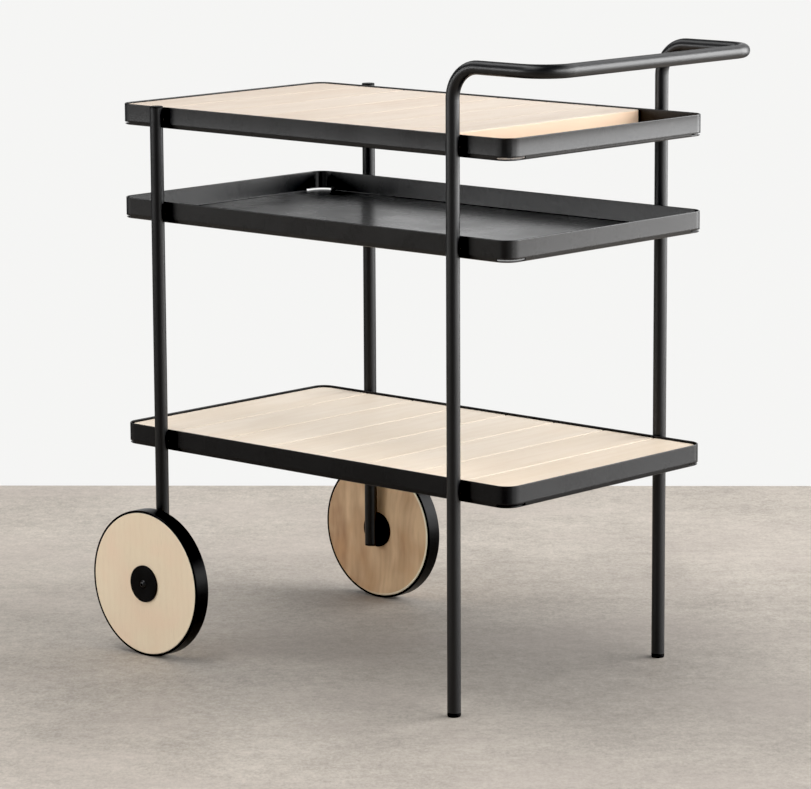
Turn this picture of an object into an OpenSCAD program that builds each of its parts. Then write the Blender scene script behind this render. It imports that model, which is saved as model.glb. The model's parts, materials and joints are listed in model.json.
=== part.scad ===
// Bar cart: a bent steel tube frame that carries three sheet steel trays,
// two of them with plank boards, on a pair of solid timber wheels.
// X runs from the wheels to the push handle, Y across, Z up from the floor.

/* [Overall] */
// Height of the push handle's top above the floor
cart_h = 900; // [860:5:1000]
// Distance along the cart between the wheel legs and the handle legs
leg_span = 566; // [520:2:640]
// Reach of the push handle's grip beyond the handle legs
grip_reach = 166; // [120:2:220]

/* [Frame tube] */
// Outer diameter of the frame tube
tube_d = 19; // [16:0.5:24]
// Wall of the frame tube
tube_wall = 1.5; // [1:0.25:2]
// Centreline radius of the bends at the top of the handle legs
rise_bend_r = 44.5; // [30:0.5:60]
// Centreline radius of the two corners of the grip
grip_bend_r = 44; // [30:1:60]
// Height that the wheel legs stand above the top tray's rim
leg_proud = 2; // [1:0.5:8]
// Length of the wheel legs below the axle
leg_tail = 22.5; // [16:0.5:40]
// Thickness of a plug's head at the ends of the wheel legs
plug_head = 2.5; // [2:0.5:5]
// Length of a top plug's stem inside the tube
plug_stem = 10; // [8:1:12]
// Room left between a lower plug's stem and the axle boss
boss_room = 2; // [1:0.5:3]
// Gap between a plug's stem and the tube's bore
plug_fit = 0.05; // [0.02:0.01:0.1]

/* [Feet] */
// Height of a rubber foot below the tube
foot_h = 6; // [5:0.5:12]
// Rounding of a foot's lower edge
foot_round = 2; // [1:0.5:4]
// Length of a foot's stem inside the tube
foot_stem = 18; // [10:1:40]

/* [Trays] */
// Length of each tray
tray_l = 745; // [700:5:800]
// Width of each tray
tray_w = 425; // [380:5:480]
// Depth of each tray, floor to rim
tray_h = 30.5; // [29.5:0.5:40]
// Sheet steel thickness
sheet = 2; // [1.2:0.1:2.4]
// Outer corner radius in plan
corner_r = 22; // [18:1:30]
// Outer radius of the bend between floor and wall
fold_r = 3; // [2.5:0.25:4]
// Height of the lower edge of a corner wall above the tray's underside
slot_h = 4.25; // [4.25:0.25:8]
// Height of the lip that the bend leaves below a corner slot
lip_h = 1.25; // [1:0.25:3.5]
// Length that a corner slot runs on along the tray's end wall
slot_run = 11; // [6:1:20]
// Diameter of the round relief at that end of the slot
relief_d = 3.5; // [2.5:0.25:4]
// Drop from the push handle's top to the top tray's rim
handle_rise = 102; // [90:1:160]
// Drop from the top tray's rim to the middle tray's rim
middle_drop = 136; // [80:1:200]
// Rim height of the bottom tray above the floor
bottom_rim_z = 329; // [300:1:380]

/* [Boards] */
// Thickness of the planks
plank_t = 22; // [16:0.5:22.5]
// Length of the top board
top_board_l = 623; // [560:1:660]
// Depth of the top board's surface below its rim
top_reveal = 2; // [0.3:0.1:2.5]
// Depth of the bottom board's surface below its rim
bottom_reveal = 3; // [1:0.5:4]
// Gap between a board and the tray's walls
board_gap = 1.5; // [1:0.25:3]
// Width of the top board's plank at the wheel end
top_first_plank = 81.5; // [70:0.5:110]
// Width of the top board's plank at the handle end
top_last_plank = 76; // [70:0.5:110]
// Width of the bottom board's plank at the wheel end
bottom_first_plank = 95.5; // [70:0.5:110]
// Width of the bottom board's plank at the handle end
bottom_last_plank = 83; // [70:0.5:110]
// Size of the bevel along each plank joint
joint_bevel = 1.5; // [0.5:0.25:2]
// Size of the bevel on the planks' upright corners at both ends of a joint
joint_nip = 4.5; // [1:0.5:6]
// Rounding of the boards' outer upper edges
edge_round = 2; // [0.5:0.25:2.5]
// Radius in plan of the top board's corners at the open end
open_corner_r = 3; // [3:0.5:8]
// Width of the battens under the planks
batten_w = 40; // [25:1:60]
// Distance from a board's long edge to the middle of its batten
batten_inset = 70; // [50:1:110]
// Distance from a board's end to the batten's end
batten_setback = 25; // [22:1:40]

/* [Wheels] */
// Outer diameter of the tyre
wheel_d = 215; // [190:1:240]
// Width of the tyre's tread
tyre_w = 24.5; // [20:0.5:32]
// Thickness of the tyre's band
tyre_t = 3.25; // [3:0.25:8]
// Rounding of the tyre's shoulders
tyre_round = 1.5; // [0.5:0.25:2.5]
// Rounding of the timber's edges, whose faces are flush with the tyre's
disc_round = 1.5; // [0.5:0.25:2.5]
// Gap between the tyre and the leg
wheel_gap = 5; // [4.5:0.25:12]
// Diameter of the hub flanges
hub_d = 54; // [40:1:70]
// Thickness of the outer hub flange
hub_t = 3; // [2:0.5:5]
// Outer diameter of a hub bush's sleeve
sleeve_d = 14; // [12:0.5:24]
// Gap between the two sleeves inside the wheel
sleeve_split = 0.6; // [0.3:0.1:2]
// Thickness of the spacer between leg and hub
spacer_t = 2.5; // [1:0.25:3]
// Outer diameter of that spacer
spacer_d = 18; // [14:0.5:30]
// Running gap at each side face of the hub
side_play = 0.2; // [0.1:0.05:0.4]

/* [Axle bolts] */
// Diameter of the axle bolt's shoulder, on which the wheel turns
axle_d = 8; // [7:0.5:10]
// Diameter of the axle bolt's thread
thread_d = 6; // [4:0.5:6.5]
// Radial gap between shoulder and bush
axle_play = 0.06; // [0.02:0.01:0.1]
// Diameter of the axle bolt's domed head
axle_head_d = 11; // [10.5:0.5:16]
// Height of the axle bolt's domed head
axle_head_h = 3.25; // [2.75:0.25:5]
// Hexagon socket across flats
socket_af = 4; // [2.5:0.5:5]
// Depth of the hexagon socket
socket_depth = 2; // [1:0.1:2.5]
// Diameter of the boss welded into the wheel leg
boss_d = 11; // [9:0.5:12]

/* [Tray screws] */
// Height of the tray screws above the tray's underside
screw_rise = 13; // [11:0.5:16]
// Shank diameter of the tray screws
screw_d = 4; // [3:0.5:4.5]
// Length of a tray screw from its face to its tip
screw_l = 12; // [10:0.5:13]
// Clearance round the screws' shanks and heads
screw_gap = 0.1; // [0.05:0.05:0.3]
// Body diameter of the threaded inserts in the legs
insert_d = 6; // [5.5:0.25:7]
// Length of an insert inside the leg
insert_l = 10; // [8:0.5:12]
// Flange diameter of the inserts
flange_d = 9; // [8:0.5:11]
// Flange thickness, which holds the tray off the tube
flange_t = 1; // [0.5:0.1:2]

/* [Wood screws] */
// Shank diameter of the wood screws
wood_screw_d = 3.5; // [3:0.25:5]
// Head diameter of the wood screws
wood_screw_head = 7; // [6:0.25:9]
// Depth that a wood screw reaches into its plank
wood_screw_bite = 12; // [8:0.5:14]

/* [Hidden] */
$fn = 64;
SIDES = [-1, 1];
TOP_PLANKS = 7;
BOTTOM_PLANKS = 8;
through = 1;

// Derived sizes
bore_d = tube_d - 2 * tube_wall;
leg_y = tray_w / 2 + flange_t + tube_d / 2;
grip_z = cart_h - tube_d / 2;
top_rim_z = cart_h - handle_rise;
middle_rim_z = top_rim_z - middle_drop;
axle_z = wheel_d / 2;

// The origin is midway between the cart's wheel end and the grip's front.
wheel_back = -max(leg_span + wheel_d, tray_l) / 2;
grip_front = leg_span / 2 + grip_reach + tube_d / 2;
tray_x = -(wheel_back + grip_front) / 2;
wheel_x = tray_x - leg_span / 2;
handle_x = tray_x + leg_span / 2;
grip_x = handle_x + grip_reach;

leg_top_z = top_rim_z + leg_proud;
leg_end_z = axle_z - leg_tail;
end_stem = leg_tail - plug_head - boss_d / 2 - boss_room;

floor_l = tray_l - 2 * sheet;
floor_w = tray_w - 2 * sheet;
board_w = floor_w - 2 * board_gap;
board_r = corner_r - sheet - board_gap;
board_left = tray_x - floor_l / 2 + board_gap;
bottom_board_l = floor_l - 2 * board_gap;
top_floor_z = top_rim_z - tray_h + sheet;
bottom_floor_z = bottom_rim_z - tray_h + sheet;
top_batten_t = tray_h - sheet - plank_t - top_reveal;
bottom_batten_t = tray_h - sheet - plank_t - bottom_reveal;
batten_y = board_w / 2 - batten_inset;

// Distances of a board's joints from its wheel end, with both of its ends.
function joints(length, first, last, count) =
    [0, for (i = [0:count - 2]) first + i * (length - first - last) / (count - 2), length];
top_joints = joints(top_board_l, top_first_plank, top_last_plank, TOP_PLANKS);
bottom_joints = joints(bottom_board_l, bottom_first_plank, bottom_last_plank, BOTTOM_PLANKS);

wheel_y = leg_y + tube_d / 2 + wheel_gap + tyre_w / 2;
disc_d = wheel_d - 2 * tyre_t;
inner_hub_t = wheel_gap - spacer_t - side_play;
sleeve_l = (tyre_w - sleeve_split) / 2;
leg_face_y = leg_y + tube_d / 2;
boss_back = sqrt(bore_d * bore_d - boss_d * boss_d) / 2 - plug_fit;
head_y = wheel_y + tyre_w / 2 + hub_t + side_play;

head_d = screw_d + 2 * sheet;
wood_head_h = (wood_screw_head - wood_screw_d) / 2;

// Shared shapes

// Moves a piece to the near side (-Y) or leaves it at the far side (+Y).
module on_side(side) {
    if (side < 0)
        mirror([0, 1, 0]) children();
    else
        children();
}

// Upright tube wall from z = low to z = high.
module upright_tube(low, high) {
    translate([0, 0, low])
        difference() {
            cylinder(d = tube_d, h = high - low);
            translate([0, 0, -through])
                cylinder(d = bore_d, h = high - low + 2 * through);
        }
}

module tube_ring() {
    difference() {
        circle(d = tube_d);
        circle(d = bore_d);
    }
}

// A quarter bend of the tube about the z axis, from the x axis to the y axis.
module tube_bend(r) {
    rotate_extrude(angle = 90, $fn = 96)
        translate([r, 0])
            tube_ring();
}

module rounded_plan(l, w, r) {
    square([l - 2 * r, w], center = true);
    square([l, w - 2 * r], center = true);
    for (x = SIDES, y = SIDES)
        translate([x * (l / 2 - r), y * (w / 2 - r)])
            circle(r = r);
}

// Heights of the screws that hold the three trays.
function screw_heights() = [for (rim = [top_rim_z, middle_rim_z, bottom_rim_z]) rim - tray_h + screw_rise];

// Holes for the inserts, in the side of a leg that faces the trays.
module insert_holes() {
    for (z = screw_heights())
        translate([0, 0, z])
            rotate([90, 0, 0])
                cylinder(d = insert_d + 2 * plug_fit, h = tube_d);
}

// Frame

// One half of the bent tube, drawn for the far side up to the middle of the grip.
module handle_half() {
    translate([handle_x, leg_y, 0])
        difference() {
            upright_tube(foot_h, grip_z - rise_bend_r);
            insert_holes();
        }
    translate([handle_x + rise_bend_r, leg_y, grip_z - rise_bend_r])
        rotate([90, 0, 0])
            rotate([0, 0, 90])
                tube_bend(rise_bend_r);
    translate([handle_x + rise_bend_r, leg_y, grip_z])
        rotate([0, 90, 0])
            linear_extrude(grip_reach - rise_bend_r - grip_bend_r)
                tube_ring();
    translate([grip_x - grip_bend_r, leg_y - grip_bend_r, grip_z])
        tube_bend(grip_bend_r);
    translate([grip_x, 0, grip_z])
        rotate([-90, 0, 0])
            linear_extrude(leg_y - grip_bend_r)
                tube_ring();
}

module handle_frame() {
    color("#1d1d1e")
        for (side = SIDES)
            on_side(side)
                handle_half();
}

module wheel_leg(side) {
    color("#1d1d1e")
        on_side(side)
            translate([wheel_x, leg_y, 0])
                difference() {
                    upright_tube(leg_end_z + plug_head, leg_top_z - plug_head);
                    insert_holes();
                    translate([0, 0, axle_z])
                        rotate([-90, 0, 0])
                            cylinder(d = boss_d + 2 * plug_fit, h = tube_d);
                }
}

// A plug with a domed edge, drawn with its head's flat side on z = 0.
module tube_plug(head, stem, edge) {
    rotate_extrude() {
        square([tube_d / 2, head - edge]);
        square([tube_d / 2 - edge, head]);
        translate([tube_d / 2 - edge, head - edge])
            intersection() {
                circle(r = edge);
                square(edge);
            }
        translate([0, -stem])
            square([bore_d / 2 - plug_fit, stem]);
    }
}

module leg_top_plug(side) {
    color("#161617")
        translate([wheel_x, side * leg_y, leg_top_z - plug_head])
            tube_plug(plug_head, plug_stem, plug_head / 4);
}

module leg_end_plug(side) {
    color("#161617")
        translate([wheel_x, side * leg_y, leg_end_z + plug_head])
            mirror([0, 0, 1])
                tube_plug(plug_head, end_stem, plug_head / 4);
}

module foot(side) {
    color("#0f0f10")
        translate([handle_x, side * leg_y, foot_h])
            mirror([0, 0, 1])
                tube_plug(foot_h, foot_stem, foot_round);
}

// Trays

// Section of the fold along a tray's side, up to the height top: u points outwards, v up,
// u = 0 is the outer face.
module fold_section(top) {
    translate([-fold_r, fold_r])
        intersection() {
            difference() {
                circle(r = fold_r);
                circle(r = fold_r - sheet);
            }
            translate([0, -fold_r])
                square([fold_r, min(fold_r, top)]);
        }
    if (top > fold_r)
        translate([-sheet, fold_r])
            square([sheet, top - fold_r]);
}

// Folded lower strip of a wall, with the wall's outer face at x = 0.
module fold_strip(length, top) {
    rotate([90, 0, 0])
        linear_extrude(length, center = true)
            fold_section(top);
}

// The floor, with the low lip of the bend round its corners and on below the open slots.
module tray_floor() {
    linear_extrude(sheet) {
        square([tray_l - 2 * corner_r, tray_w - 2 * fold_r], center = true);
        square([tray_l - 2 * fold_r, tray_w - 2 * corner_r], center = true);
    }
    for (x = SIDES, y = SIDES)
        mirror([x < 0 ? 1 : 0, 0, 0])
            mirror([0, y < 0 ? 1 : 0, 0])
                translate([tray_l / 2 - corner_r, tray_w / 2 - corner_r, 0]) {
                    rotate_extrude(angle = 90) {
                        square([corner_r - fold_r, sheet]);
                        translate([corner_r, 0])
                            fold_section(lip_h);
                    }
                    translate([corner_r, -slot_run / 2, 0])
                        fold_strip(slot_run, lip_h);
                }
}

// The rim's upper edge is fully rounded, so the wall stops half a sheet below it.
module tray_wall() {
    rim = tray_h - sheet / 2;
    translate([0, 0, slot_h])
        linear_extrude(rim - slot_h)
            difference() {
                rounded_plan(tray_l, tray_w, corner_r);
                rounded_plan(floor_l, floor_w, corner_r - sheet);
            }
    translate([0, 0, rim]) {
        for (y = SIDES)
            translate([0, y * (tray_w - sheet) / 2, 0])
                rotate([0, 90, 0])
                    cylinder(d = sheet, h = tray_l - 2 * corner_r, center = true);
        for (x = SIDES)
            translate([x * (tray_l - sheet) / 2, 0, 0])
                rotate([90, 0, 0])
                    cylinder(d = sheet, h = tray_w - 2 * corner_r, center = true);
        for (x = SIDES, y = SIDES)
            translate([x * (tray_l / 2 - corner_r), y * (tray_w / 2 - corner_r), 0])
                mirror([x < 0 ? 1 : 0, 0, 0])
                    mirror([0, y < 0 ? 1 : 0, 0])
                        rotate_extrude(angle = 90)
                            translate([corner_r - sheet / 2, 0])
                                circle(d = sheet);
    }
}

// Round relief through an end wall, at the end of a corner slot.
module slot_relief() {
    translate([0, 0, slot_h - relief_d / 4])
        rotate([0, 90, 0])
            cylinder(d = relief_d, h = 4 * sheet, center = true);
}

module tray(rim_z) {
    color("#232324")
        translate([tray_x, 0, rim_z - tray_h])
            difference() {
                union() {
                    tray_floor();
                    tray_wall();
                    for (y = SIDES)
                        on_side(y)
                            translate([0, tray_w / 2, 0])
                                rotate([0, 0, 90])
                                    fold_strip(tray_l - 2 * corner_r, slot_h);
                    for (x = SIDES)
                        mirror([x < 0 ? 1 : 0, 0, 0])
                            translate([tray_l / 2, 0, 0])
                                fold_strip(tray_w - 2 * corner_r - 2 * slot_run, slot_h);
                }
                for (x = SIDES, y = SIDES) {
                    translate([x * tray_l / 2, y * (tray_w / 2 - corner_r - slot_run), 0])
                        slot_relief();
                    translate([x * leg_span / 2, y * tray_w / 2, screw_rise])
                        on_side(y)
                            rotate([90, 0, 0])
                                screw_seat();
                }
            }
}

// Countersunk hole, drawn along +Z from the wall's outer face to its inner face.
module screw_seat() {
    cylinder(d1 = screw_d + 2 * screw_gap, d2 = head_d + 2 * screw_gap, h = sheet);
    translate([0, 0, -through])
        cylinder(d = screw_d + 2 * screw_gap, h = sheet + through);
    translate([0, 0, sheet])
        cylinder(d = head_d + 2 * screw_gap, h = through);
}

// Tray fixings

// A countersunk screw, drawn with its face at z = 0 and its tip at z = -screw_l.
module tray_screw() {
    difference() {
        union() {
            translate([0, 0, -sheet])
                cylinder(d1 = screw_d, d2 = head_d, h = sheet);
            translate([0, 0, -screw_l])
                cylinder(d = screw_d, h = screw_l - sheet);
        }
        translate([0, 0, -sheet / 2])
            cylinder(d = screw_d / 2, h = sheet, $fn = 6);
    }
}

module tray_screws(rim_z) {
    color("#1a1a1b")
        for (x = [wheel_x, handle_x], y = SIDES)
            on_side(y)
                translate([x, floor_w / 2, rim_z - tray_h + screw_rise])
                    rotate([90, 0, 0])
                        tray_screw();
}

// A threaded insert, drawn with its flange on the tube at z = 0 and its body below.
module leg_insert() {
    difference() {
        union() {
            cylinder(d = flange_d, h = flange_t);
            translate([0, 0, -insert_l])
                cylinder(d = insert_d, h = insert_l);
        }
        translate([0, 0, -insert_l - through])
            cylinder(d = screw_d + plug_fit, h = insert_l + flange_t + 2 * through);
    }
}

module leg_inserts(x, sides) {
    color("silver")
        for (y = sides, z = screw_heights())
            on_side(y)
                translate([x, leg_y - tube_d / 2, z])
                    rotate([90, 0, 0])
                        leg_insert();
}

// Boards

// Outline of a board, drawn smaller all round by inset: its corners have the tray's own
// radius at the wheel end, and end_r at the other.
module board_plan(length, end_r, inset) {
    translate([board_r, inset - board_w / 2])
        square([length - board_r - end_r, board_w - 2 * inset]);
    translate([inset, board_r - board_w / 2])
        square([length / 2, board_w - 2 * board_r]);
    translate([length / 2, end_r - board_w / 2])
        square([length / 2 - inset, board_w - 2 * end_r]);
    for (side = SIDES) {
        translate([board_r, side * (board_w / 2 - board_r)])
            circle(r = board_r - inset);
        translate([length - end_r, side * (board_w / 2 - end_r)])
            circle(r = end_r - inset);
    }
}

// A quarter ring that rounds the edge of a corner of radius r.
module corner_round(r) {
    rotate_extrude(angle = 90)
        intersection() {
            translate([r - edge_round, 0])
                circle(r = edge_round);
            square(r + edge_round);
        }
}

// A whole board from its wheel end at x = 0, with rounded upper edges and its underside at z = 0.
module board_blank(length, end_r) {
    lower = plank_t - edge_round;
    linear_extrude(lower)
        board_plan(length, end_r, 0);
    linear_extrude(plank_t)
        board_plan(length, end_r, edge_round);
    translate([0, 0, lower]) {
        for (side = SIDES)
            on_side(side) {
                translate([board_r, board_w / 2 - edge_round, 0])
                    rotate([0, 90, 0])
                        cylinder(r = edge_round, h = length - board_r - end_r);
                translate([board_r, board_w / 2 - board_r, 0])
                    rotate([0, 0, 90])
                        corner_round(board_r);
                translate([length - end_r, board_w / 2 - end_r, 0])
                    corner_round(end_r);
            }
        translate([edge_round, 0, 0])
            rotate([90, 0, 0])
                cylinder(r = edge_round, h = board_w - 2 * board_r, center = true);
        translate([length - edge_round, 0, 0])
            rotate([90, 0, 0])
                cylinder(r = edge_round, h = board_w - 2 * end_r, center = true);
    }
}

// Cuts a bevel off the upper corners on both sides of a joint at the origin.
module joint_cut() {
    rotate([0, 0, 45])
        square(joint_bevel * sqrt(2), center = true);
}

// Cuts a bevel off the upright corners of two planks, where their joint meets a board's long edge.
module nip_cut() {
    rotate([0, 0, 45])
        cube([joint_nip * sqrt(2), joint_nip * sqrt(2), 2 * (plank_t + through)], center = true);
}

// Plank i of a board, cut from the whole board between two of its joints, with pilot holes
// for the screws in its underside.
module plank(i, board_joints, end_r, under_z) {
    last = len(board_joints) - 2;
    from = board_joints[i];
    to = board_joints[i + 1];
    color("#e8d3b4")
        translate([board_left, 0, under_z])
            difference() {
                intersection() {
                    board_blank(board_joints[last + 1], end_r);
                    rotate([90, 0, 0])
                        linear_extrude(board_w + 2 * through, center = true)
                            difference() {
                                translate([i == 0 ? from - through : from, -through])
                                    square([
                                        to - from + (i == 0 || i == last ? through : 0),
                                        plank_t + 2 * through
                                    ]);
                                if (i > 0)
                                    translate([from, plank_t])
                                        joint_cut();
                                if (i < last)
                                    translate([to, plank_t])
                                        joint_cut();
                            }
                }
                for (side = SIDES) {
                    translate([(from + to) / 2, side * batten_y, -through])
                        cylinder(d = wood_screw_d + plug_fit, h = wood_screw_bite + through + plug_fit);
                    if (i > 0)
                        translate([from, side * board_w / 2, 0])
                            nip_cut();
                    if (i < last)
                        translate([to, side * board_w / 2, 0])
                            nip_cut();
                }
            }
}

module top_plank(i) {
    plank(i, top_joints, open_corner_r, top_floor_z + top_batten_t);
}

module bottom_plank(i) {
    plank(i, bottom_joints, board_r, bottom_floor_z + bottom_batten_t);
}

// A countersunk wood screw pointing up, with its face at z = 0.
module wood_screw(length) {
    cylinder(d1 = wood_screw_head, d2 = wood_screw_d, h = wood_head_h);
    translate([0, 0, wood_head_h])
        cylinder(d = wood_screw_d, h = length - wood_head_h);
}

// Two screws for every plank, up through the battens.
module board_screws(board_joints, floor_z, batten_t) {
    color("silver")
        for (i = [0:len(board_joints) - 2], side = SIDES)
            translate([
                board_left + (board_joints[i] + board_joints[i + 1]) / 2,
                side * batten_y,
                floor_z
            ])
                wood_screw(batten_t + wood_screw_bite);
}

// A batten along the board, with a countersunk hole under each plank.
module batten(side, board_joints, floor_z, batten_t) {
    last = len(board_joints) - 2;
    color("#d9c09c")
        translate([board_left, side * batten_y, floor_z])
            difference() {
                translate([batten_setback, -batten_w / 2, 0])
                    cube([board_joints[last + 1] - 2 * batten_setback, batten_w, batten_t]);
                for (i = [0:last])
                    translate([(board_joints[i] + board_joints[i + 1]) / 2, 0, 0]) {
                        translate([0, 0, -through])
                            cylinder(d = wood_screw_d + plug_fit, h = batten_t + 2 * through);
                        cylinder(d1 = wood_screw_head + plug_fit, d2 = wood_screw_d + plug_fit,
                            h = wood_head_h);
                    }
            }
}

// Wheels

// Places a piece that turns about z = 0 on a wheel's axis, with +Z pointing outwards from the cart.
module on_axle(side, y) {
    on_side(side)
        translate([wheel_x, y, axle_z])
            rotate([-90, 0, 0])
                children();
}

module wheel_disc(side) {
    color("#e2c9a6")
        on_axle(side, wheel_y)
            rotate_extrude($fn = 128) {
                translate([sleeve_d / 2, -tyre_w / 2])
                    square([(disc_d - sleeve_d) / 2 - disc_round, tyre_w]);
                translate([sleeve_d / 2, disc_round - tyre_w / 2])
                    square([(disc_d - sleeve_d) / 2, tyre_w - 2 * disc_round]);
                for (face = SIDES)
                    translate([disc_d / 2 - disc_round, face * (tyre_w / 2 - disc_round)])
                        circle(r = disc_round);
            }
}

// The tyre's band, with its two outer shoulders rounded.
module tyre(side) {
    color("#141415")
        on_axle(side, wheel_y)
            rotate_extrude($fn = 128)
                translate([disc_d / 2, 0]) {
                    translate([0, -tyre_w / 2])
                        square([tyre_t - tyre_round, tyre_w]);
                    translate([0, tyre_round - tyre_w / 2])
                        square([tyre_t, tyre_w - 2 * tyre_round]);
                    for (shoulder = SIDES)
                        translate([tyre_t - tyre_round, shoulder * (tyre_w / 2 - tyre_round)])
                            circle(r = tyre_round);
                }
}

// A flanged bush: its flange lies on the timber at z = 0 and its sleeve reaches down into it.
module flanged_bush(flange) {
    edge = flange / 4;
    difference() {
        rotate_extrude() {
            square([hub_d / 2, flange - edge]);
            square([hub_d / 2 - edge, flange]);
            translate([hub_d / 2 - edge, flange - edge])
                circle(r = edge);
            translate([0, -sleeve_l])
                square([sleeve_d / 2, sleeve_l]);
        }
        translate([0, 0, -sleeve_l - through])
            cylinder(d = axle_d + 2 * axle_play, h = sleeve_l + flange + 2 * through);
    }
}

module outer_hub_bush(side) {
    color("#161617")
        on_axle(side, wheel_y + tyre_w / 2)
            flanged_bush(hub_t);
}

module inner_hub_bush(side) {
    color("#161617")
        on_axle(side, wheel_y - tyre_w / 2)
            mirror([0, 0, 1])
                flanged_bush(inner_hub_t);
}

module axle_spacer(side) {
    color("#161617")
        on_axle(side, leg_face_y)
            difference() {
                cylinder(d = spacer_d, h = spacer_t);
                translate([0, 0, -through])
                    cylinder(d = axle_d + 2 * axle_play, h = spacer_t + 2 * through);
            }
}

// The bolt's shoulder stands on the boss in the leg, and its thread reaches into it.
module axle_bolt(side) {
    dome_r = (axle_head_d * axle_head_d / 4 + axle_head_h * axle_head_h) / (2 * axle_head_h);
    shoulder_l = head_y - leg_face_y;
    thread_l = tube_d / 2 + boss_back - through;
    color("#1b1b1c")
        on_axle(side, head_y)
            difference() {
                union() {
                    intersection() {
                        translate([0, 0, axle_head_h - dome_r])
                            sphere(r = dome_r, $fn = 96);
                        cylinder(d = axle_head_d, h = axle_head_h);
                    }
                    translate([0, 0, -shoulder_l])
                        cylinder(d = axle_d, h = shoulder_l);
                    translate([0, 0, -shoulder_l - thread_l])
                        cylinder(d = thread_d, h = thread_l);
                }
                translate([0, 0, axle_head_h - socket_depth])
                    cylinder(d = socket_af / cos(30), h = socket_depth + through, $fn = 6);
            }
}

// A tapped boss welded into the leg, flush with its outer face.
module axle_boss(side) {
    color("#1b1b1c")
        on_axle(side, leg_y)
            difference() {
                translate([0, 0, -boss_back])
                    cylinder(d = boss_d, h = boss_back + tube_d / 2);
                translate([0, 0, -boss_back - through])
                    cylinder(d = thread_d + plug_fit, h = boss_back + tube_d / 2 + 2 * through);
            }
}

handle_frame();
wheel_leg(-1);  // wheel_leg_near
wheel_leg(1);  // wheel_leg_far
leg_top_plug(-1);  // leg_top_plug_near
leg_top_plug(1);  // leg_top_plug_far
leg_end_plug(-1);  // leg_end_plug_near
leg_end_plug(1);  // leg_end_plug_far
foot(-1);  // foot_near
foot(1);  // foot_far
tray(top_rim_z);  // top_tray
tray(middle_rim_z);  // middle_tray
tray(bottom_rim_z);  // bottom_tray
top_plank(0);  // top_plank_1
top_plank(1);  // top_plank_2
top_plank(2);  // top_plank_3
top_plank(3);  // top_plank_4
top_plank(4);  // top_plank_5
top_plank(5);  // top_plank_6
top_plank(6);  // top_plank_7
batten(-1, top_joints, top_floor_z, top_batten_t);  // top_batten_near
batten(1, top_joints, top_floor_z, top_batten_t);  // top_batten_far
board_screws(top_joints, top_floor_z, top_batten_t);  // top_board_screws
bottom_plank(0);  // bottom_plank_1
bottom_plank(1);  // bottom_plank_2
bottom_plank(2);  // bottom_plank_3
bottom_plank(3);  // bottom_plank_4
bottom_plank(4);  // bottom_plank_5
bottom_plank(5);  // bottom_plank_6
bottom_plank(6);  // bottom_plank_7
bottom_plank(7);  // bottom_plank_8
batten(-1, bottom_joints, bottom_floor_z, bottom_batten_t);  // bottom_batten_near
batten(1, bottom_joints, bottom_floor_z, bottom_batten_t);  // bottom_batten_far
board_screws(bottom_joints, bottom_floor_z, bottom_batten_t);  // bottom_board_screws
wheel_disc(-1);  // wheel_disc_near
wheel_disc(1);  // wheel_disc_far
tyre(-1);  // tyre_near
tyre(1);  // tyre_far
outer_hub_bush(-1);  // outer_hub_bush_near
outer_hub_bush(1);  // outer_hub_bush_far
inner_hub_bush(-1);  // inner_hub_bush_near
inner_hub_bush(1);  // inner_hub_bush_far
axle_spacer(-1);  // axle_spacer_near
axle_spacer(1);  // axle_spacer_far
axle_bolt(-1);  // axle_bolt_near
axle_bolt(1);  // axle_bolt_far
axle_boss(-1);  // axle_boss_near
axle_boss(1);  // axle_boss_far
leg_inserts(handle_x, SIDES);  // handle_leg_inserts
leg_inserts(wheel_x, [-1]);  // wheel_leg_inserts_near
leg_inserts(wheel_x, [1]);  // wheel_leg_inserts_far
tray_screws(top_rim_z);  // top_tray_screws
tray_screws(middle_rim_z);  // middle_tray_screws
tray_screws(bottom_rim_z);  // bottom_tray_screws
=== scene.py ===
import json
import math

import bpy
from mathutils import Matrix, Vector


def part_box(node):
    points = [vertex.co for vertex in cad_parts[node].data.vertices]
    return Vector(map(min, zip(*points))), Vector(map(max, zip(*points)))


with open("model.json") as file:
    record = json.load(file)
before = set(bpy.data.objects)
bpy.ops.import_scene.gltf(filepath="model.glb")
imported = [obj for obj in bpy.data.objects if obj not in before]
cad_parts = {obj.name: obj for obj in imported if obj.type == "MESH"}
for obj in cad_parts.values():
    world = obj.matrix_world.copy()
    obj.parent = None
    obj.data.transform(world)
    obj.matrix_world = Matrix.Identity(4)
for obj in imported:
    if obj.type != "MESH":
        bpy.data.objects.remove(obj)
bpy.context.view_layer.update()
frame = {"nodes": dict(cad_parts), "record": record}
nodes = frame["nodes"]
scene = bpy.context.scene
print("frame loaded:", len(nodes), "nodes")


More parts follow.
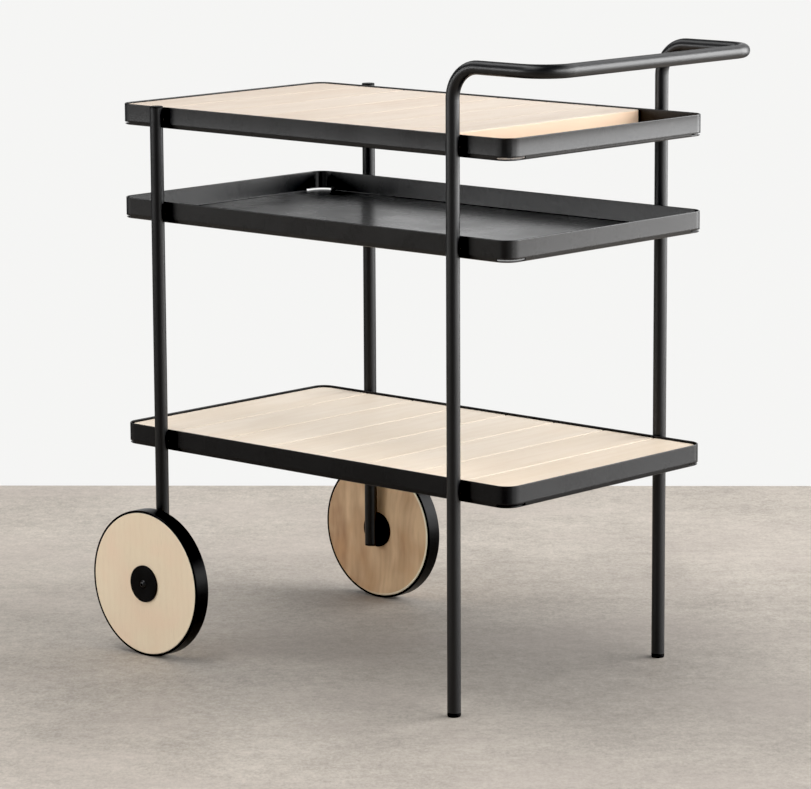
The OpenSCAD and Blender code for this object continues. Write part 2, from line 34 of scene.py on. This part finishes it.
class Wire:
    # A socket of a node tree: sums and products on it add Math nodes.
    def __init__(self, tree, socket=None):
        self.tree = tree
        self.socket = socket

    def add(self, kind, settings=None, sockets=None, out=0):
        # Any node: its settings come first, then the values or links of its sockets.
        node = self.tree.nodes.new(kind)
        for name, value in (settings or {}).items():
            setattr(node, name, value)
        for name, value in (sockets or {}).items():
            if isinstance(value, Wire):
                self.tree.links.new(value.socket, node.inputs[name])
            else:
                node.inputs[name].default_value = value
        return Wire(self.tree, node.outputs[out]) if len(node.outputs) else Wire(self.tree)

    def maths(self, operation, first, second=0.0):
        return self.add("ShaderNodeMath", {"operation": operation}, {0: first, 1: second})

    def __add__(self, other):
        return self.maths("ADD", self, other)

    def __radd__(self, other):
        return self.maths("ADD", other, self)

    def __sub__(self, other):
        return self.maths("SUBTRACT", self, other)

    def __rsub__(self, other):
        return self.maths("SUBTRACT", other, self)

    def __mul__(self, other):
        return self.maths("MULTIPLY", self, other)

    def __rmul__(self, other):
        return self.maths("MULTIPLY", other, self)

    def __truediv__(self, other):
        return self.maths("DIVIDE", self, other)

    def __rtruediv__(self, other):
        return self.maths("DIVIDE", other, self)

    def __pow__(self, other):
        return self.maths("POWER", self, other)

    def __rpow__(self, other):
        return self.maths("POWER", other, self)

    def floor(self):
        return self.maths("FLOOR", self)

    def sine(self):
        return self.maths("SINE", self)

    def root(self):
        return self.maths("SQRT", self)

    def sign(self):
        return self.maths("SIGN", self)

    def swing(self, amount):
        # A map from 0 to 1 becomes a change of half the amount either way.
        return (self - 0.5) * amount

    def waves(self, pitch):
        # Goes from 0 to 1 and back once in each pitch.
        return (self * (2.0 * math.pi / pitch)).sine() * 0.5 + 0.5

    def rise(self, low, high):
        # Goes smoothly from 0 at low to 1 at high.
        return self.add("ShaderNodeMapRange", {"interpolation_type": "SMOOTHSTEP"},
                        {"Value": self, "From Min": low, "From Max": high})

    def noise(self, place, scale, detail, roughness=0.5):
        return self.add("ShaderNodeTexNoise", {}, {"Vector": place, "Scale": scale,
                                                   "Detail": detail, "Roughness": roughness})

    def vector(self, x, y, z):
        return self.add("ShaderNodeCombineXYZ", {}, {"X": x, "Y": y, "Z": z})

    def mixed(self, factor, first, second, blend="MIX"):
        return self.add("ShaderNodeMix", {"data_type": "RGBA", "blend_type": blend},
                        {0: factor, 6: first, 7: second}, out=2)


def newMaterial(name, **constants):
    # An empty Principled material: constants go on its sockets directly.
    material = bpy.data.materials.new(name)
    material.use_nodes = True
    tree = material.node_tree
    shader = tree.nodes["Principled BSDF"]
    for socket, value in constants.items():
        shader.inputs[socket.replace("_", " ")].default_value = value
    start = Wire(tree)
    place = start.add("ShaderNodeTexCoord", out="Object")
    return material, start, shader, place


def finishMaterial(start, shader, colour, roughness=None, height=None, relief=1.0):
    # relief is the metres that a height of 1 stands for.
    for socket, wire in (("Base Color", colour), ("Roughness", roughness)):
        if wire is not None:
            start.tree.links.new(wire.socket, shader.inputs[socket])
    if height is not None:
        bump = start.add("ShaderNodeBump", {}, {"Height": height, "Distance": relief,
                                                "Strength": 1.0})
        start.tree.links.new(bump.socket, shader.inputs["Normal"])


def rgb(colour):
    return (*colour, 1.0)


def axes(start, place):
    node = start.add("ShaderNodeSeparateXYZ", {}, {"Vector": place}).socket.node
    return [Wire(start.tree, node.outputs[axis]) for axis in "XYZ"]


def normals(start):
    return axes(start, start.add("ShaderNodeNewGeometry", out="Normal"))


def distance(first, second):
    return (first * first + second * second).root()


def middle(node):
    low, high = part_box(node)
    return [(a + b) / 2 for a, b in zip(low, high)]


# Black powder coat of the frame, the trays and the bolts, with its fine orange peel

def powderCoat(name, look, wall=None):
    # wall is a tray's lowest and highest point. A tray's sides are bowed inwards a little and lean,
    # as a folded sheet springs back, and round under a little above the lower fold.
    material, start, shader, place = newMaterial(
        name, Specular_IOR_Level=look["specular"], IOR=look["ior"])
    peel = start.noise(place, look["peelScale"], detail=2.0)
    grit = start.noise(place, look["gritScale"], detail=1.0)
    cloud = start.noise(place, look["cloudScale"], detail=3.0)
    colour = start.mixed(grit.rise(*look["lightFrom"]), rgb(look["dark"]), rgb(look["light"]))
    roughness = look["rough"] + cloud.swing(look["roughCloud"]) + grit.swing(look["roughGrit"])
    height = (peel * look["peelShare"] + grit * (1 - look["peelShare"])) * look["relief"]
    if wall is not None:
        x, y, z = axes(start, place)
        rise = z - (wall[0] + wall[1]) / 2
        sway = start.noise(place, look["swayScale"], detail=1.0)
        normalX, normalY = normals(start)[:2]
        outer = (normalX * x + normalY * y).sign()  # 1 on the outer faces and -1 on the inner ones
        foldLow, foldHigh = (wall[0] + step for step in look["foldReach"])
        fold = 1 - z.rise(foldLow, foldHigh)
        ends = normalX * normalX  # 1 on the two short walls
        bow = look["bow"] + ends * look["endBow"]
        lean = look["lean"] + ends * look["endLean"]
        height = height + rise * rise * bow + rise * outer * lean + sway * look["sway"] \
            - fold * (outer * 0.5 + 0.5) * look["foldIn"]
    finishMaterial(start, shader, colour, roughness, height)
    return material


frameCoat = {"dark": (0.001, 0.0012, 0.0018), "light": (0.003, 0.0033, 0.0045),
             "lightFrom": (0.45, 0.75), "rough": 0.36, "roughCloud": 0.08, "roughGrit": 0.06,
             "peelScale": 900.0, "peelShare": 0.8, "gritScale": 3200.0, "cloudScale": 14.0,
             "relief": 0.00001, "specular": 0.43, "ior": 1.5}
wheelLegCoat = {**frameCoat, "specular": 0.34}
boltCoat = {**frameCoat, "rough": 0.28, "gritScale": 5000.0}
trayCoat = {**frameCoat, "rough": 0.28, "roughCloud": 0.16, "peelScale": 800.0,
            "sway": 0.00025, "swayScale": 9.0, "foldReach": (0.00204, 0.0068), "foldIn": 0.0009}
trayTuning = {
    "top_tray": {"lean": 0.0, "bow": 1.2, "endLean": 0.028, "endBow": 3.3, "specular": 0.40},
    "middle_tray": {"lean": 0.05, "bow": 0.3, "endLean": 0.006, "endBow": 0.0, "specular": 0.42},
    "bottom_tray": {"lean": -0.03, "bow": 0.3, "endLean": -0.035, "endBow": 0.0, "specular": 0.23},
}


# Pale wood of the boards and wheels

def woodMaterial(look, across, along, depth, chance, start, shader, face, paintedRimHighlight=None, paintedEndShade=0.0):
    # across, along and depth are metres over the face, down the grain and into the board, chance
    # differs from plank to plank and face is the axis that the broad faces look along.
    # The last two arguments are a painted highlight along one side of a disc's rim and painted
    # shade added towards one end of a board.
    seed = chance * look["spread"]
    odd = chance - 0.5

    def grain(sideways, lengthways, inwards, detail=2.0):
        return start.noise(start.vector(sideways, lengthways, inwards), 1.0, detail)

    wander = grain(across * look["wanderScale"] + seed, along * look["wanderAlong"] + seed,
                   depth * look["wanderScale"])
    ripple = grain(across * look["rippleScale"] + seed, along * look["rippleAlong"],
                   depth * look["rippleScale"] + seed)
    pith = across + odd * look["pithShift"]
    radius = distance(pith, depth + look["pithDepth"]) + wander.swing(look["wander"]) \
        + ripple.swing(look["ripple"])
    rings = radius.waves(look["ringWidth"]) ** 2.0
    bent = across + wander.swing(look["wander"])
    streaks = grain(bent * look["streakScale"] + seed, along * look["streakAlong"],
                    depth * look["streakDeep"], detail=3.0)
    clouds = grain(bent * look["cloudScale"] + seed, along * look["cloudAlong"],
                   depth * look["cloudDeep"])
    fibres = grain(across * look["fibreScale"], along * look["fibreAlong"] + seed,
                   depth * look["fibreScale"])
    pores = grain(across * look["poreScale"], along * look["poreAlong"] + seed,
                  depth * look["poreScale"], detail=1.0)
    fleck = pores.rise(*look["fleckFrom"])
    # The last term is painted shade that darkens a board towards its +X end.
    shade = rings * look["ringShade"] + streaks.swing(look["streakShade"]) \
        + clouds.swing(look["cloudShade"]) + fibres.swing(look["fibreShade"]) \
        + odd * look["plankShade"] + look["base"] - across * look["sideShade"] + paintedEndShade
    colour = start.mixed(shade, rgb(look["pale"]), rgb(look["tan"]))
    warmth = clouds.rise(*look["warmFrom"]) * look["warmShare"]
    colour = start.mixed(warmth, colour, rgb(look["warm"]))
    colour = start.mixed(fleck * look["fleckShade"], colour, rgb(look["fleck"]))
    if paintedRimHighlight is not None:
        outside = depth.rise(*look["outerFrom"]) * look["outerShare"]
        colour = start.mixed(outside, colour, rgb(look["outer"]))
        # A painted highlight along the disc's rim on its +X side.
        colour = start.mixed(paintedRimHighlight * look["paintedRimHighlightShare"], colour, rgb(look["edge"]))
    normal = normals(start)[face]
    facing = normal * normal
    # Chamfers take a darker tone and side faces a warmer tint of the wood; on the wheels that tint
    # is a painted highlight on the rounded edge.
    for part in ("bevel", "edge"):
        turned = (1 - facing.rise(*look[part + "From"])) * look[part + "Share"]
        colour = start.mixed(turned, colour, rgb(look[part]))
    roughness = look["rough"] + fibres.swing(look["roughFibre"]) + fleck * look["roughFleck"]
    height = fibres * look["fibreRise"] + rings * look["ringRise"] - fleck * look["fleckSink"]
    finishMaterial(start, shader, colour, roughness, height, look["relief"])


# Its pale and tan are the bottom board's, made paler as painted light for its place under the
# trays; the other woods take their own.
boardWood = {
    "pale": (0.87, 0.767, 0.645), "tan": (0.66, 0.52, 0.38), "base": 0.16,
    "warm": (0.82, 0.69, 0.54), "warmShare": 0.35, "warmFrom": (0.45, 0.75),
    "fleck": (0.52, 0.40, 0.28), "fleckShade": 0.2, "fleckFrom": (0.62, 0.74),
    "bevel": (0.63, 0.53, 0.41), "bevelShare": 0.9, "bevelFrom": (0.6, 0.9),
    "edge": (0.865, 0.622, 0.437), "edgeShare": 0.9, "edgeFrom": (0.03, 0.30),
    "ringWidth": 0.0062, "ringShade": 0.09, "pithShift": 0.09, "pithDepth": 0.075,
    "wander": 0.030, "wanderScale": 6.0, "wanderAlong": 1.4,
    "ripple": 0.004, "rippleScale": 24.0, "rippleAlong": 5.0,
    "streakScale": 70.0, "streakAlong": 6.0, "streakDeep": 40.0, "streakShade": 0.75,
    "cloudScale": 14.0, "cloudAlong": 5.0, "cloudDeep": 10.0, "cloudShade": 0.35,
    "fibreScale": 700.0, "fibreAlong": 14.0, "fibreShade": 0.18,
    "poreScale": 1500.0, "poreAlong": 55.0, "plankShade": 0.12, "sideShade": 0.0,
    # The next line ends with painted shade towards the board's +X end.
    "spread": 17.0, "plankSeed": 3.7, "paintedEndShadeFrom": (-0.02, 0.30), "paintedEndShadeShare": 0.36,
    "rough": 0.52, "roughFibre": 0.12, "roughFleck": 0.08,
    "relief": 0.00003, "fibreRise": 0.6, "ringRise": 0.3, "fleckSink": 0.8,
}
# The top board is the same wood made darker, painted shade for the light that falls on it from
# above, with less of the painted end shade.
topBoardWood = {
    **boardWood, "pale": (0.725, 0.63, 0.535), "tan": (0.56, 0.43, 0.325),
    "warm": (0.69, 0.56, 0.44), "bevel": (0.56, 0.46, 0.36), "bevelShare": 0.85,
    "paintedEndShadeShare": 0.12,
}
battenWood = {**boardWood, "pale": (0.66, 0.54, 0.39), "tan": (0.48, 0.36, 0.23), "rough": 0.62}
wheelWoodNear = {
    **boardWood, "pale": (0.84, 0.707, 0.52), "tan": (0.716, 0.563, 0.392), "chance": 0.36,
    "warm": (0.837, 0.63, 0.4655), "warmShare": 0.6, "bevelShare": 0.0,
    # A painted highlight on the rounded edge of the disc:
    "edge": (0.88, 0.78, 0.62), "edgeShare": 0.8, "edgeFrom": (0.55, 0.93),
    "outer": (0.66, 0.52, 0.375), "outerShare": 0.0, "outerFrom": (-0.004, 0.004),
    # The next line sets a faint painted highlight along the rim's +X side.
    "paintedRimHighlightFrom": 0.0040, "paintedRimHighlightFade": 0.001, "paintedRimHighlightSide": (-0.5, 0.7), "paintedRimHighlightShare": 0.1,
    "ringWidth": 0.011, "ringShade": 0.10, "pithDepth": 0.03, "wanderAlong": 6.0,
    "streakScale": 30.0, "streakAlong": 12.0, "streakShade": 0.5, "cloudAlong": 14.0,
    "rough": 0.5,
}
# The far wheel's darker, browner colours are its heartwood figure and also painted shade for its
# place under the cart; it turns paler towards +X.
wheelWoodFar = {
    **wheelWoodNear, "pale": (0.757, 0.529, 0.315), "tan": (0.37, 0.20, 0.10), "chance": 0.83,
    "warm": (0.68, 0.40, 0.20), "base": 0.26, "sideShade": 3.0, "wander": 0.060,
    "streakScale": 36.0, "streakAlong": 9.0, "streakShade": 1.8, "cloudShade": 1.5,
    # A brighter painted highlight on the rounded edge and the rim, and the outer face's own paler
    # tone:
    "edge": (0.95, 0.86, 0.66), "outerShare": 0.75, "paintedRimHighlightShare": 1.0,
}


def plankMaterial(name, look, firstJoint, pitch):
    # One material for a whole board: the plank a point lies in is worked out from X.
    material, start, shader, place = newMaterial(name)
    x, y, z = axes(start, place)
    index = ((x - firstJoint) / pitch).floor()
    chance = start.add("ShaderNodeTexWhiteNoise", {"noise_dimensions": "1D"},
                       {"W": index + look["plankSeed"]}, out="Value")
    across = x - firstJoint - (index + 0.5) * pitch
    # Painted shade: the wood darkens towards the board's +X end.
    paintedEndShade = x.rise(*look["paintedEndShadeFrom"]) * look["paintedEndShadeShare"]
    woodMaterial(look, across, y, z, chance, start, shader, face=2, paintedEndShade=paintedEndShade)
    return material


def boardMaterial(name, look, secondPlank):
    low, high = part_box(secondPlank)
    return plankMaterial(name, look, low[0], high[0] - low[0])


def discMaterial(name, look, node):
    material, start, shader, place = newMaterial(name)
    x, y, z = axes(start, place)
    low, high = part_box(node)
    centre = middle(node)
    across, up = x - centre[0], z - centre[2]
    size = (high[2] - low[2]) / 2
    # Painted highlight: a thin ring at the disc's rim, on its +X side only.
    paintedRimHighlightStart = size - look["paintedRimHighlightFrom"]
    paintedRimHighlight = distance(across, up).rise(paintedRimHighlightStart, paintedRimHighlightStart + look["paintedRimHighlightFade"]) \
        * (across / size).rise(*look["paintedRimHighlightSide"])
    woodMaterial(look, across, up, y - centre[1], look["chance"], start, shader, face=1, paintedRimHighlight=paintedRimHighlight)
    return material


# Rubber and plastic of the tyres, feet, hubs and plugs

def rubberMaterial(name, look, centre=None):
    # centre is the axle's, for the faint turned rings of the mould.
    material, start, shader, place = newMaterial(name, Specular_IOR_Level=look["specular"])
    grain = start.noise(place, look["grainScale"], detail=2.0)
    cloud = start.noise(place, look["cloudScale"], detail=3.0)
    colour = start.mixed(cloud.rise(*look["dustFrom"]), rgb(look["dark"]), rgb(look["dusty"]))
    height = grain
    if centre is not None:
        x, z = axes(start, place)[::2]
        mould = distance(x - centre[0], z - centre[2]).waves(look["mouldPitch"])
        height = grain * (1 - look["mouldShare"]) + mould * look["mouldShare"]
    roughness = look["rough"] + grain.swing(look["roughGrain"]) + cloud.swing(look["roughCloud"])
    finishMaterial(start, shader, colour, roughness, height, look["relief"])
    return material


tyreRubber = {"dark": (0.0006, 0.0006, 0.0008), "dusty": (0.0016, 0.0016, 0.0019),
              "dustFrom": (0.35, 0.8), "cloudScale": 30.0, "grainScale": 1500.0,
              "mouldPitch": 0.0014, "mouldShare": 0.3, "relief": 0.00004,
              "rough": 0.30, "roughGrain": 0.12, "roughCloud": 0.1, "specular": 0.06}
footRubber = {**tyreRubber, "rough": 0.6, "relief": 0.00005}
hubPlastic = {**tyreRubber, "dark": (0.006, 0.006, 0.0062), "dusty": (0.009, 0.009, 0.0095),
              "rough": 0.45, "grainScale": 2600.0, "relief": 0.00003}
plugPlastic = {**hubPlastic, "rough": 0.4}


# Bare metal of the inserts and wood screws

def zincMaterial(name, look):
    material, start, shader, place = newMaterial(name, Metallic=1.0)
    spangle = start.noise(place, look["spangleScale"], detail=2.0)
    fine = start.noise(place, look["fineScale"], detail=1.0)
    colour = start.mixed(spangle.rise(*look["lightFrom"]), rgb(look["dark"]), rgb(look["light"]))
    roughness = look["rough"] + spangle.swing(look["roughSpangle"])
    finishMaterial(start, shader, colour, roughness, fine, look["relief"])
    return material


zinc = {"dark": (0.50, 0.49, 0.46), "light": (0.66, 0.65, 0.62), "lightFrom": (0.35, 0.7),
        "rough": 0.34, "roughSpangle": 0.2, "spangleScale": 900.0, "fineScale": 4000.0,
        "relief": 0.00001}


# A finish for each material slot, and for the pieces whose names begin as given

axle = middle("tyre_near")
slotFinishes = {
    "frame_steel": powderCoat("frame coat", frameCoat),
    "black_fixings": powderCoat("bolt coat", boltCoat),
    "batten_wood": plankMaterial("batten wood", battenWood, firstJoint=-0.5, pitch=1.0),
    "foot_rubber": rubberMaterial("foot rubber", footRubber),
    "hub_plastic": rubberMaterial("hub plastic", hubPlastic, axle),
    "plug_plastic": rubberMaterial("plug plastic", plugPlastic),
    "tyre_rubber": rubberMaterial("tyre rubber", tyreRubber, axle),
    "zinc_fixings": zincMaterial("zinc", zinc),
}
pieceFinishes = {
    "top_plank": boardMaterial("top board wood", topBoardWood, "top_plank_2"),
    "bottom_plank": boardMaterial("bottom board wood", boardWood, "bottom_plank_2"),
    "wheel_leg_near": powderCoat("near wheel leg coat", wheelLegCoat),
    "wheel_leg_far": powderCoat("far wheel leg coat", wheelLegCoat),
    "wheel_disc_near": discMaterial("near wheel wood", wheelWoodNear, "wheel_disc_near"),
    "wheel_disc_far": discMaterial("far wheel wood", wheelWoodFar, "wheel_disc_far"),
}
for tray, tuning in trayTuning.items():
    low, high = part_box(tray)
    pieceFinishes[tray] = powderCoat(tray + " coat", {**trayCoat, **tuning}, (low[2], high[2]))

for part in frame["record"]["subparts"]:
    node = part["node"]
    material = slotFinishes.get(part["material_slot"])
    for beginning, finish in pieceFinishes.items():
        if node.startswith(beginning):
            material = finish
    mesh = nodes[node].data
    mesh.materials.clear()
    mesh.materials.append(material)
print("materials:", len(bpy.data.materials))


# Camera at the photo's viewing angle, for an image of 811 by 789

camera = {"place": (3.63177, -4.03799, 1.35504), "yaw": 0.7380563, "pitch": 0.1761668,
          "roll": -0.0048776, "lens": 170.6, "sensor": 36.0, "farthest": 100.0}
yaw, pitch, roll = camera["yaw"], camera["pitch"], camera["roll"]
level = Vector((math.cos(yaw), math.sin(yaw), 0.0))
away = Vector((-math.sin(yaw), math.cos(yaw), 0.0))
forward = Vector((-math.sin(yaw) * math.cos(pitch), math.cos(yaw) * math.cos(pitch),
                  -math.sin(pitch)))
upright = level.cross(forward)
right = level * math.cos(roll) + upright * math.sin(roll)
up = upright * math.cos(roll) - level * math.sin(roll)
cameraData = bpy.data.cameras.new("camera")
cameraData.lens = camera["lens"]
cameraData.sensor_width = camera["sensor"]
cameraData.sensor_fit = "HORIZONTAL"
cameraData.clip_end = camera["farthest"]
cameraObject = bpy.data.objects.new("camera", cameraData)
scene.collection.objects.link(cameraObject)
turn = Matrix((right, up, -forward)).transposed().to_4x4()
cameraObject.matrix_world = Matrix.Translation(camera["place"]) @ turn
scene.camera = cameraObject
print("camera placed")


# Floor, whose far edge is the line behind the cart
# A painted shadow darkens the floor under the cart; painted light makes it brighter on one side and
# towards the back, and painted shade dims it from a metre and a half out. Past the lamps the floor
# glows a little by its emission, as a lit studio's would, which is painted light. Each mottle is
# its scale along and away, its own layer, detail, roughness, share.

floorLook = {
    "behind": 1.256, "turn": 0.0273, "inFront": 14.0, "side": 12.0, "rough": 0.65,
    "pale": (0.485, 0.437, 0.382), "dark": (0.275, 0.246, 0.214),
    "mottles": ((1.6, 1.1, 0.0, 4.0, 0.6, 1.3), (7.0, 10.0, 3.0, 4.0, 0.6, 1.0),
                (55.0, 50.0, 7.0, 3.0, 0.7, 1.3), (210.0, 120.0, 5.0, 3.0, 0.75, 1.6)),
    "stain": (0.392, 0.342, 0.306), "stainShare": 0.35, "stainFrom": (0.45, 0.65),
    "stainScale": (3.0, 3.5), "stainLayer": 11.0,
    # Painted light and shade on the floor: a painted shadow under the cart, a slope of light across
    # it, light further back, shade far out and a glow past the lamps.
    "paintedShadowCentre": (0.06, 0.0), "paintedShadowReach": (1.25, 0.78), "paintedShadowShade": 0.41,
    "paintedLightSlope": 0.29, "paintedLightSlopeReach": (-1.0, 1.0), "paintedFarLight": 0.07, "paintedFarLightReach": (0.2, 1.2),
    "paintedFalloffReach": (1.5, 3.0), "paintedFalloffShade": 0.5,
    "glow": (0.26, 0.24, 0.215), "paintedGlowReach": (2.3, 4.2),
}


def makeFloor(look):
    slant = look["turn"] * look["side"]
    corners = [away * reach + level * side * look["side"]
               for reach, side in ((look["behind"] + slant, -1), (look["behind"] - slant, 1),
                                   (-look["inFront"], 1), (-look["inFront"], -1))]
    mesh = bpy.data.meshes.new("floor")
    mesh.from_pydata(corners, [], [(3, 2, 1, 0)])
    floor = bpy.data.objects.new("floor", mesh)
    scene.collection.objects.link(floor)
    material, start, shader, place = newMaterial("floor", Roughness=look["rough"],
                                                 Emission_Strength=1.0)
    x, y = axes(start, place)[:2]
    along = x * level.x + y * level.y
    deep = y * away.y + x * away.x
    shade = 0.5
    for alongScale, deepScale, layer, detail, roughness, share in look["mottles"]:
        spot = start.vector(along * alongScale, deep * deepScale, layer)
        shade = shade + start.noise(spot, 1.0, detail, roughness).swing(share)
    colour = start.mixed(shade, rgb(look["dark"]), rgb(look["pale"]))
    spot = start.vector(along * look["stainScale"][0], deep * look["stainScale"][1],
                        look["stainLayer"])
    stain = start.noise(spot, 1.0, detail=2.0).rise(*look["stainFrom"]) * look["stainShare"]
    colour = start.mixed(stain, colour, rgb(look["stain"]))
    # Painted shadow under the cart: the floor's colour is darker towards the middle.
    outsidePaintedShadow = distance((x - look["paintedShadowCentre"][0]) / look["paintedShadowReach"][0],
                        (y - look["paintedShadowCentre"][1]) / look["paintedShadowReach"][1]).rise(0.0, 1.0)
    # Painted light: the floor is brighter on one side of the cart than on the other.
    light = outsidePaintedShadow * look["paintedShadowShade"] + (1 - look["paintedShadowShade"]) \
        - along.rise(*look["paintedLightSlopeReach"]).swing(look["paintedLightSlope"])
    reach = distance(x, y)
    # Painted shade from a metre and a half out, and painted light towards the back.
    light = light * (1 - reach.rise(*look["paintedFalloffReach"]) * look["paintedFalloffShade"]) \
        + deep.rise(*look["paintedFarLightReach"]) * look["paintedFarLight"]
    # Painted light: past the lamps the floor glows by its own emission.
    glow = start.mixed(reach.rise(*look["paintedGlowReach"]), rgb((0.0, 0.0, 0.0)), rgb(look["glow"]))
    start.tree.links.new(glow.socket, shader.inputs["Emission Color"])
    # The painted light, shade and shadow multiply into the floor's colour.
    colour = start.mixed(1.0, colour, start.vector(light, light, light), "MULTIPLY")
    finishMaterial(start, shader, colour)
    mesh.materials.append(material)


makeFloor(floorLook)
print("floor laid")


# Soft studio light: each ring of lamps stands round the cart, and its powers are watts by azimuth

lights = {
    "low ring": {"distance": 3.2, "height": 0.36, "aim": 0.6, "size": (1.66, 0.66),
                 "powers": {0: 11.2, 30: 20.4, 60: 24.3, 90: 2.7, 150: 3.5, 210: 2.8, 262: 2.4,
                            330: 2.2}},
    "waist ring": {"distance": 3.2, "height": 1.1, "aim": 0.7, "size": (1.66, 0.76),
                   "powers": {0: 16.4, 30: 33.0, 60: 44.5, 120: 5.2, 150: 2.8, 235: 32.0,
                              264: 5.0, 298: 2.8}},
    "head ring": {"distance": 3.1, "height": 1.9, "aim": 0.7, "size": (1.66, 0.8),
                  "powers": {0: 37.5, 30: 43.4, 60: 47.3, 90: 3.6, 120: 2.5}},
    "upper ring": {"distance": 2.2, "height": 2.8, "aim": 0.5, "size": (1.7, 1.2),
                   "powers": {45: 12.0, 90: 12.0, 180: 13.0, 270: 13.5}},
    "top ring": {"distance": 1.4, "height": 3.7, "aim": 0.5, "size": (1.3, 1.1),
                 "powers": {202.5: 20.5, 262.5: 24.5}},
}
for name, ring in lights.items():
    for azimuth, power in ring["powers"].items():
        data = bpy.data.lights.new(name, "AREA")
        data.shape = "RECTANGLE"
        data.size, data.size_y = ring["size"]
        data.energy = power
        lamp = bpy.data.objects.new(name, data)
        scene.collection.objects.link(lamp)
        angle = math.radians(azimuth)
        spot = Vector((ring["distance"] * math.cos(angle), ring["distance"] * math.sin(angle),
                       ring["height"]))
        aim = Vector((0.0, 0.0, ring["aim"])) - spot
        lamp.location = spot
        lamp.rotation_euler = aim.to_track_quat("-Z", "Y").to_euler()
        lamp.visible_camera = False
print("lamps:", len(bpy.data.lights))


# Plain backdrop, which the camera sees paler than it lights the cart

room = {"seen": (0.915, 0.915, 0.905), "glow": (0.95, 0.97, 1.0), "glowStrength": 0.1,
        "blackLevel": 0.0065}  # the photo's blacks are a little deeper than a straight print's
world = bpy.data.worlds.new("room")
world.use_nodes = True
world.node_tree.nodes.clear()
sky = Wire(world.node_tree)
glow = sky.add("ShaderNodeBackground", {},
               {"Color": rgb(room["glow"]), "Strength": room["glowStrength"]})
seen = sky.add("ShaderNodeBackground", {}, {"Color": rgb(room["seen"]), "Strength": 1.0})
direct = sky.add("ShaderNodeLightPath", out="Is Camera Ray")
both = sky.add("ShaderNodeMixShader", {}, {0: direct, 1: glow, 2: seen})
sky.add("ShaderNodeOutputWorld", {}, {"Surface": both})
scene.world = world
scene.view_settings.view_transform = "Standard"
scene.view_settings.use_curve_mapping = True
scene.view_settings.curve_mapping.black_level = (room["blackLevel"],) * 3
scene.view_settings.curve_mapping.update()
print("backdrop and tone set")
